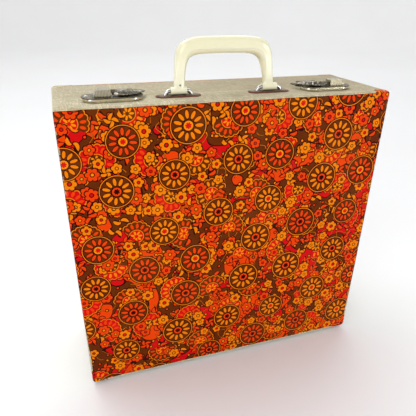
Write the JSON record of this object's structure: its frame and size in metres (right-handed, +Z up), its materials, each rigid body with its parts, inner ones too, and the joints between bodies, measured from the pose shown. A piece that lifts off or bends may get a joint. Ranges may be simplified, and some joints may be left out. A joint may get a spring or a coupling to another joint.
{
  "type": "record carrying case",
  "caption": "Upright box-shaped carrying case for long-playing records, with cloth-covered edges, printed faces, a swinging carrying handle, sprung slide latches and bottom hinges.",
  "frame": {"origin": "on the floor under the middle of the case as it stands on its feet", "axes": "+X to the right seen from the front, +Y from the front face to the back face, +Z up to the handle"},
  "size_m": [0.35, 0.1124, 0.386],
  "materials": {
    "board": "bare plywood, covered on every side",
    "hardboard": "bare hardboard, covered on every side",
    "print": "satin floral print in orange, red and brown",
    "bookcloth": "linen-weave bookcloth, a little soiled",
    "lining": "matt paper",
    "nickel": "dulled nickel plate",
    "old_nickel": "tarnished nickel plate, bright on its ridges",
    "steel": "plain steel",
    "chrome": "polished",
    "fibre": "red-brown vulcanised fibre",
    "handle_plastic": "glossy cream, a little yellowed"
  },
  "bodies": {
    "rear_section": {"rear_frame": "board", "rear_panel": "hardboard", "rear_print": "print", "rear_cloth": "bookcloth", "rear_lining": "lining", "rim_lip": "bookcloth", "rear_feet": "nickel", "rear_hinge_leaves": "nickel", "hinge_pins": "steel", "rear_hinge_rivets": "steel", "hasp_leaf_left": "nickel", "hasp_leaf_right": "nickel", "hasp_pin_left": "steel", "hasp_pin_right": "steel", "hasp_leaf_rivets": "steel"},
    "front_section": {"front_frame": "board", "front_panel": "hardboard", "front_print": "print", "front_cloth": "bookcloth", "front_lining": "lining", "front_feet": "nickel", "front_hinge_leaves": "nickel", "front_hinge_rivets": "steel", "handle_washer_left": "fibre", "handle_washer_right": "fibre", "handle_plate_left": "nickel", "handle_plate_right": "nickel", "handle_loop_left": "chrome", "handle_loop_right": "chrome", "handle_backing_plates": "steel", "latch_pan_left": "nickel", "latch_pan_right": "nickel", "latch_plate_left": "nickel", "latch_plate_right": "nickel", "latch_rivets_left": "steel", "latch_rivets_right": "steel", "latch_spring_left": "steel", "latch_spring_right": "steel"},
    "handle": {"handle": "handle_plastic"},
    "slide_left": {"latch_slide_left": "nickel"},
    "slide_right": {"latch_slide_right": "nickel"},
    "hasp_left": {"hasp_left": "nickel", "hasp_frond_left": "old_nickel"},
    "hasp_right": {"hasp_right": "nickel", "hasp_frond_right": "old_nickel"}
  },
  "joints": [
    {"name": "lid_hinge", "type": "hinge", "parent": "rear_section", "child": "front_section", "pos_m": [0, -0.01325, 0.0019], "axis": [1, 0, 0], "range_deg": [0, 180]},
    {"name": "handle_hinge", "type": "hinge", "parent": "front_section", "child": "handle", "pos_m": [-0.0065, -0.02825, 0.3366], "axis": [1, 0, 0], "range_deg": [-70, 90]},
    {"name": "slide_left_thumb", "type": "slide", "parent": "front_section", "child": "slide_left", "axis": [-1, 0, 0], "range_m": [0, 0.004], "stiffness_N_per_m": 80, "springref_m": -0.003, "deforming": ["latch_spring_left"]},
    {"name": "slide_right_thumb", "type": "slide", "parent": "front_section", "child": "slide_right", "axis": [1, 0, 0], "range_m": [0, 0.004], "stiffness_N_per_m": 80, "springref_m": -0.003, "deforming": ["latch_spring_right"]},
    {"name": "hasp_left_hinge", "type": "hinge", "parent": "rear_section", "child": "hasp_left", "pos_m": [-0.109, -0.00725, 0.3344], "axis": [-1, 0, 0], "range_deg": [0, 110]},
    {"name": "hasp_right_hinge", "type": "hinge", "parent": "rear_section", "child": "hasp_right", "pos_m": [0.098, -0.00725, 0.3344], "axis": [-1, 0, 0], "range_deg": [0, 110]}
  ]
}
